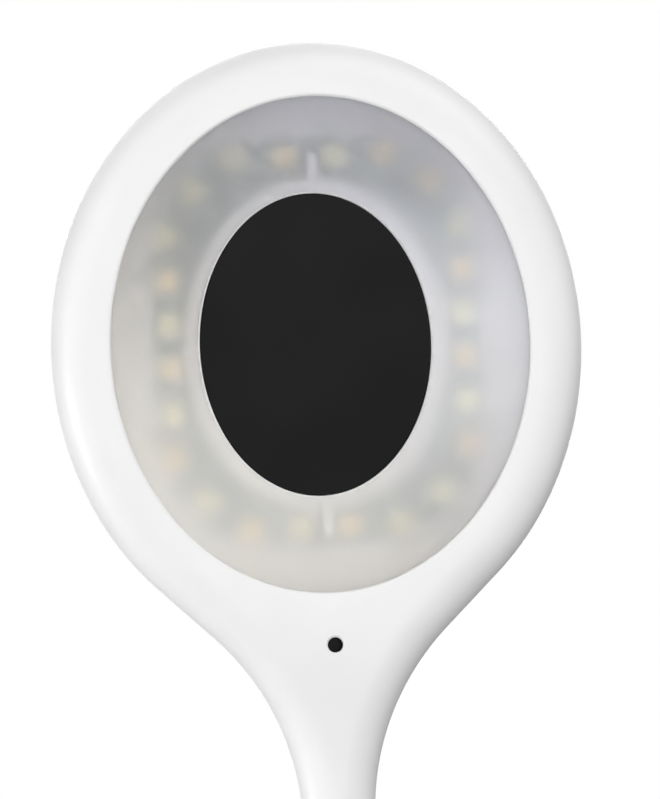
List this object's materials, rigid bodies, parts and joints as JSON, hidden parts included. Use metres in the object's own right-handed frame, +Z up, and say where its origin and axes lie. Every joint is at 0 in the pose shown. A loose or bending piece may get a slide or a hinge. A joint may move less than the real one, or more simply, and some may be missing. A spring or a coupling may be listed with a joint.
{
  "type": "usb gooseneck light",
  "caption": "Oval light head with a frosted window, an LED ring and a microphone, on a bendable gooseneck with a USB plug at its foot.",
  "frame": {"origin": "centre of the plug at its shoulder, where it meets the face of a USB port", "axes": "+Z up along the plug and the straight gooseneck, the light faces -Y, +X to its right as seen from the front"},
  "size_m": [0.07, 0.013, 0.2846],
  "materials": {
    "case_white": "satin moulded plastic",
    "lens_frosted": "frosted light-diffusing plastic",
    "plate_black": "satin black",
    "board_white": "white solder mask",
    "board_green": "green solder mask",
    "led_warm": "amber phosphor in a white frame",
    "led_cool": "lemon phosphor in a white frame",
    "chip_black": "moulded package",
    "ceramic_tan": "ceramic",
    "contact_gold": "gold plated",
    "steel": "bare",
    "shell_nickel": "nickel plated",
    "boot_rubber": "matt",
    "felt_black": "felt",
    "wire_red": "insulated wire",
    "sleeve_silicone": "matt silicone",
    "insulator_white": "moulded"
  },
  "bodies": {
    "plug": {"plug_front": "case_white", "plug_rear": "case_white", "usb_shell": "shell_nickel", "usb_insulator": "insulator_white", "usb_contacts": "contact_gold", "lower_ferrule": "steel", "hose_lower_stub": "steel", "silicone_sleeve": "sleeve_silicone", "power_lead": "wire_red"},
    "link_1": {"hose_link_1": "steel"},
    "link_2": {"hose_link_2": "steel"},
    "link_3": {"hose_link_3": "steel"},
    "link_4": {"hose_link_4": "steel"},
    "link_5": {"hose_link_5": "steel"},
    "head": {"front_bezel": "case_white", "rear_cover": "case_white", "diffuser_lens": "lens_frosted", "centre_plate": "plate_black", "led_board": "board_white", "warm_leds": "led_warm", "cool_leds": "led_cool", "control_board": "board_green", "voice_chip": "chip_black", "driver_transistors": "chip_black", "capacitors": "ceramic_tan", "board_pins": "contact_gold", "board_screws": "steel", "case_screws": "steel", "mic_capsule": "steel", "mic_boot": "boot_rubber", "mic_felt": "felt_black", "mic_leads": "wire_red", "upper_ferrule": "steel", "hose_upper_stub": "steel"}
  },
  "joints": [
    {"name": "neck_bend_1", "type": "hinge", "parent": "plug", "child": "link_1", "pos_m": [0, 0, 0.04167], "axis": [1, 0, 0], "range_deg": [-40, 40], "deforming": ["silicone_sleeve", "power_lead"]},
    {"name": "neck_bend_2", "type": "hinge", "parent": "link_1", "child": "link_2", "pos_m": [0, 0, 0.065], "axis": [0, 1, 0], "range_deg": [-40, 40], "deforming": ["silicone_sleeve", "power_lead"]},
    {"name": "neck_bend_3", "type": "hinge", "parent": "link_2", "child": "link_3", "pos_m": [0, 0, 0.08833], "axis": [1, 0, 0], "range_deg": [-40, 40], "deforming": ["silicone_sleeve", "power_lead"]},
    {"name": "neck_bend_4", "type": "hinge", "parent": "link_3", "child": "link_4", "pos_m": [0, 0, 0.11167], "axis": [0, 1, 0], "range_deg": [-40, 40], "deforming": ["silicone_sleeve", "power_lead"]},
    {"name": "neck_bend_5", "type": "hinge", "parent": "link_4", "child": "link_5", "pos_m": [0, 0, 0.135], "axis": [1, 0, 0], "range_deg": [-40, 40], "deforming": ["silicone_sleeve", "power_lead"]},
    {"name": "neck_bend_6", "type": "hinge", "parent": "link_5", "child": "head", "pos_m": [0, 0, 0.15833], "axis": [0, 1, 0], "range_deg": [-40, 40], "deforming": ["silicone_sleeve", "power_lead"]}
  ]
}
